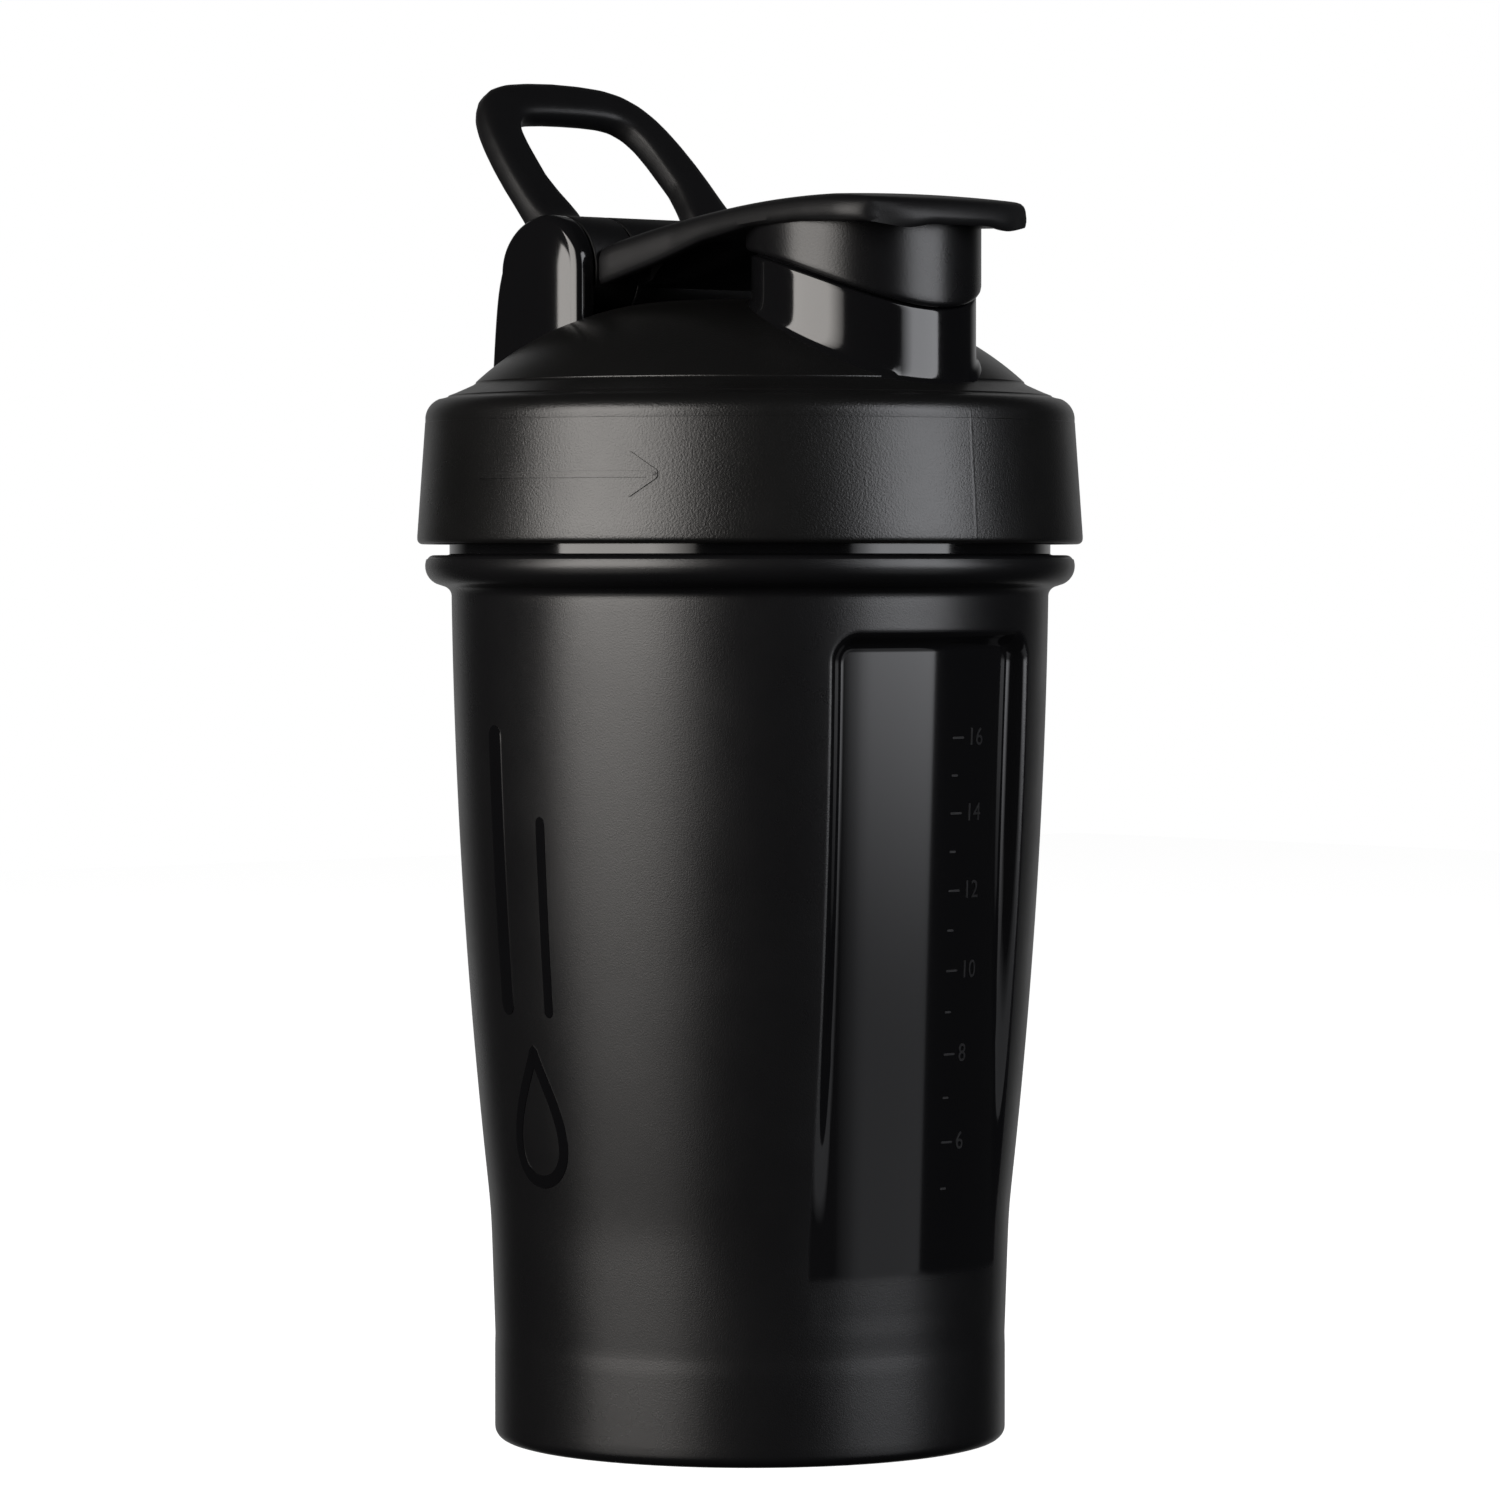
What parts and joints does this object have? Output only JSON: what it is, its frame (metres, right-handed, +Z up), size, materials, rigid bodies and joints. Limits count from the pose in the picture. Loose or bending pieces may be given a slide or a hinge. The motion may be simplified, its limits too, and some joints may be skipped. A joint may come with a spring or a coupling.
{
  "type": "protein shaker bottle",
  "caption": "Tapered shaker jar with a recessed window, a screw lid with a spout, a hinged flip cap, a carry loop and a loose wire whisk ball inside.",
  "frame": {"origin": "centre of the foot ring, on the surface that the bottle stands on", "axes": "+Z up along the bottle's axis, -Y towards the spout and the window, +X to the side along the hinge axis"},
  "size_m": [0.0984, 0.0985, 0.2033],
  "materials": {
    "jar_plastic": "satin black, glossy in the window",
    "lid_plastic": "fine orange-peel grain, glossy spout and towers",
    "cap_plastic": "satin black",
    "seal_rubber": "soft matte",
    "pin_steel": "drawn rod",
    "whisk_wire": "polished stainless wire"
  },
  "bodies": {
    "jar": {"jar": "jar_plastic"},
    "seal": {"lid_gasket": "seal_rubber"},
    "lid": {"lid": "lid_plastic", "hinge_pin": "pin_steel"},
    "flip_cap": {"flip_cap": "cap_plastic", "spout_plug": "seal_rubber"},
    "carry_loop": {"carry_loop": "cap_plastic"},
    "whisk": {"whisk_ball": "whisk_wire"}
  },
  "joints": [
    {"name": "lid_lift", "type": "slide", "parent": "jar", "child": "seal", "axis": [0, 0, 1], "range_m": [0, 0.0063]},
    {"name": "lid_turn", "type": "hinge", "parent": "seal", "child": "lid", "pos_m": [0, 0, 0.14], "axis": [0, 0, 1], "range_deg": [0, 450]},
    {"name": "cap_flip", "type": "hinge", "parent": "lid", "child": "flip_cap", "pos_m": [0, 0.0193, 0.1726], "axis": [-1, 0, 0], "range_deg": [0, 90]},
    {"name": "loop_swing", "type": "hinge", "parent": "lid", "child": "carry_loop", "pos_m": [0, 0.0193, 0.1726], "axis": [-1, 0, 0], "range_deg": [0, 75]},
    {"name": "whisk_rattle", "type": "slide", "parent": "jar", "child": "whisk", "axis": [0, 0, 1], "range_m": [0, 0.095]}
  ],
  "couplings": [
    {"joint": "lid_lift", "follows": "lid_turn", "m_per_rad": 0.00079577}
  ]
}
